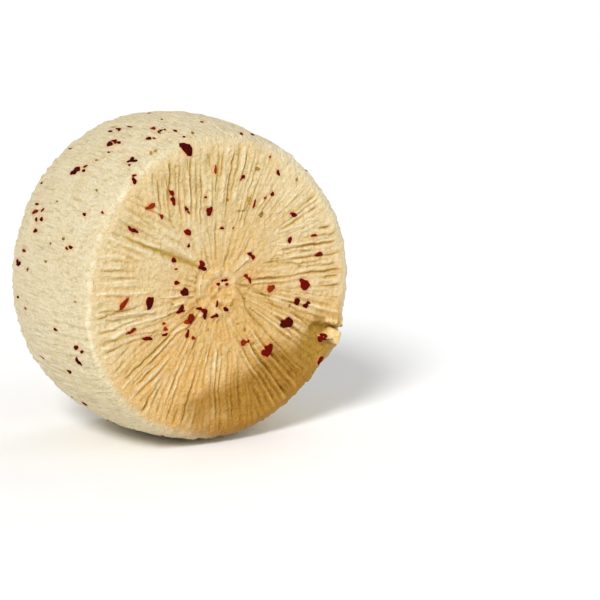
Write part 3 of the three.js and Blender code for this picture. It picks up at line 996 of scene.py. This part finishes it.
def painted_shadow_colour(n):
    """The golden brown painted shadow low on the right, which is deepest in its valleys and creases."""
    # the painted shadow is lighter on the crests, as a painted highlight
    colour = n.mix(n.attribute("crest"), (0.35, 0.16, 0.006), (0.60, 0.35, 0.06))
    deep = n.math("MAXIMUM", n.attribute("valley"), n.attribute("brown"))
    # and deepest in the valleys and creases, as painted shade
    return n.lay(colour, (0.20, 0.09, 0.003), deep, 0.6)


def curd_material():
    """Moist fresh curd: an ivory rim, and golden cream folds with ochre valleys, with painted highlights,
    painted shade and a painted shadow.
    """
    n = Nodes("curd")
    colour = n.mix(n.attribute("face"), rim_colour(n), face_colour(n))
    ochre = n.math("MULTIPLY", n.patches(0.5, 0.68, 2.4, 4), 0.4)
    colour = n.lay(colour, (0.57, 0.40, 0.12), ochre, n.attribute("face"))
    colour = fold_colour(n, colour)
    # lays the golden brown painted shadow low on the right over the curd
    colour = n.mix(n.attribute("shade"), colour, painted_shadow_colour(n))
    # painted shade in the worn hollow
    colour = n.lay(colour, (0.41, 0.24, 0.022), n.attribute("sunk"), 0.9)
    # pale torn curd on the lip and flaps, partly a painted highlight
    colour = n.lay(colour, (0.94, 0.69, 0.32), n.attribute("torn"), 0.9)
    colour = n.lay(colour, (0.78, 0.30, 0.1), n.attribute("oil"), n.patches(0.2, 0.6, 1.6, 2))
    colour = n.lay(colour, (0.42, 0.27, 0.07), n.patches(0.7, 0.75, 1.5, 1), 0.4)

    roughness = n.math("MULTIPLY_ADD", n.noise(3, 2), 0.25, 0.42)
    grain = n.bump(n.noise(1.0, 3), 0.44)
    mottles = n.bump(n.noise(2.6, 2), 0.95, grain)
    lines = n.bump(n.noise(1.3, 2, (1, 0.1, 1)), 0.85, mottles)
    return n.finish(
        colour, roughness, lines,
        Subsurface_Weight=0.18, Subsurface_Scale=0.003, Subsurface_Radius=(1, 0.55, 0.25),
        Specular_IOR_Level=0.25,
    )


# (darkest colour, brightest colour, roughness where it is roughest)
CHILLI_LOOKS = {
    "skin": ((0.024, 0.0005, 0.0002), (0.21, 0.004, 0.0008), 0.8),
    "pulp": ((0.12, 0.004, 0.0006), (0.34, 0.032, 0.004), 0.8),
    "seed": ((0.20, 0.12, 0.02), (0.50, 0.33, 0.05), 0.7),
}


def chilli_material(name, dark, bright, roughest):
    """Dried chilli: mottled and uneven in its shine, each flake in its own shade."""
    n = Nodes(name)
    own = n.attribute("tint")
    mottled = n.patches(0.35, 0.7, 1.1, 3)
    share = n.math("ADD", n.math("MULTIPLY", own, 0.6), n.math("MULTIPLY", mottled, 0.4))
    colour = n.mix(share, dark, bright)
    roughness = n.math("MULTIPLY", n.patches(0.1, 0.5, 0.7, 2), roughest)
    wrinkles = n.bump(n.noise(0.5, 3), 0.14)
    return n.finish(colour, roughness, wrinkles, Specular_IOR_Level=0.05)


def floor_material():
    n = Nodes("pale_floor")
    colour = n.mix(n.noise(400, 1), (0.97, 0.97, 0.97), (0.98, 0.98, 0.98))
    roughness = n.patches(-3.0, 1.5, 300, 1)
    return n.finish(colour, roughness, n.bump(n.noise(2, 1), 0.01), Specular_IOR_Level=0.4)


# ---------------- the stage

FLOOR_SIZE = 24.0  # metres
FLOOR_GAP = 0.05  # how far under the wheel's flat the floor lies
CAMERA_AZIMUTH = -29.778
CAMERA_ELEVATION = 11.926
CAMERA_DISTANCE = 1400
# Degrees that the camera turns left and up from the wheel. The wheel lies left of the picture's
# middle, so it turns right, and a little down.
CAMERA_TURN = (-2.856, -0.597)
CAMERA_LENS = 146.5
CAMERA_SENSOR = 36

# (name, azimuth, elevation, strength, softness in degrees)
LIGHTS = [
    ("key", -52, 40, 2.38, 18),
    ("fill", 40, 30, 0.36, 40),
    ("top", 115, 50, 0.35, 40),
]
WORLD_STRENGTH = 0.44
BACKDROP_BRIGHTNESS = 1.0


def around_wheel(azimuth, elevation):
    a, e = math.radians(azimuth), math.radians(elevation)
    return Vector((math.sin(a) * math.cos(e), -math.cos(a) * math.cos(e), math.sin(e)))


def add_floor():
    half = FLOOR_SIZE / 2
    corners = [(-half, -half, 0), (half, -half, 0), (half, half, 0), (-half, half, 0)]
    mesh = bpy.data.meshes.new("floor")
    mesh.from_pydata(corners, [], [(0, 1, 2, 3)])
    mesh.materials.append(floor_material())
    floor = add_object("floor", mesh)
    floor.location.z = -FLOOR_GAP * MM


def add_lights(target):
    for name, azimuth, elevation, strength, softness in LIGHTS:
        data = bpy.data.lights.new(name, "SUN")
        data.energy = strength
        data.angle = math.radians(softness)
        light = add_object(name, data)
        away = around_wheel(azimuth, elevation)
        light.location = target + away
        light.rotation_euler = (-away).to_track_quat("-Z", "Y").to_euler()


def add_backdrop():
    """An even white surrounding that lights less than it shows."""
    world = bpy.data.worlds.new("studio")
    world.use_nodes = True
    nodes = world.node_tree.nodes
    background = nodes["Background"]
    background.inputs["Color"].default_value = (1, 1, 1, 1)
    seen = nodes.new("ShaderNodeLightPath").outputs["Is Camera Ray"]
    strength = nodes.new("ShaderNodeMapRange")
    strength.inputs["To Min"].default_value = WORLD_STRENGTH
    strength.inputs["To Max"].default_value = BACKDROP_BRIGHTNESS
    world.node_tree.links.new(seen, strength.inputs["Value"])
    world.node_tree.links.new(strength.outputs["Result"], background.inputs["Strength"])
    bpy.context.scene.world = world
    bpy.context.scene.view_settings.view_transform = "Standard"


def add_camera(target):
    data = bpy.data.cameras.new("camera")
    data.lens = CAMERA_LENS
    data.sensor_width = CAMERA_SENSOR
    camera = add_object("camera", data)
    camera.location = target + around_wheel(CAMERA_AZIMUTH, CAMERA_ELEVATION) * CAMERA_DISTANCE * MM
    heading = math.radians(CAMERA_AZIMUTH + CAMERA_TURN[0])
    pitch = math.radians(90 - CAMERA_ELEVATION + CAMERA_TURN[1])
    camera.rotation_euler = (pitch, 0, heading)
    bpy.context.scene.camera = camera


# ---------------- putting it together

places, triangles, values = wheel_surface()
axis_offset = (places.min(0) + places.max(0)) / 2 * (1, 1, 0)

flakes = {kind: landings_of(kind) for kind in PIECE_NAMES}
values["oil"] = oil_stains(places, {kind: found[0] for kind, found in flakes.items()})
# the golden brown painted shadow low on the right
values["shade"] = shade(places)

standing = stand_up(places, axis_offset)
body = make_piece("cheese_body", standing, triangles, values, curd_material())
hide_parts("cheese_wheel")

body_tree = BVHTree.FromPolygons([Vector(p) for p in places], triangles.tolist())
for kind, (landings, draw) in flakes.items():
    laid, faces, tint = lay_all(landings, kind, draw, body_tree)
    standing, slot = stand_up(laid, axis_offset), "chilli_" + kind
    material = chilli_material(slot, *CHILLI_LOOKS[kind])
    make_piece(PIECE_NAMES[kind], standing, faces, {"tint": tint}, material)

wheel_centre = (Vector((0, 0, foot_level)) - Vector(axis_offset)) * MM
add_floor()
add_lights(wheel_centre)
add_backdrop()
add_camera(wheel_centre)
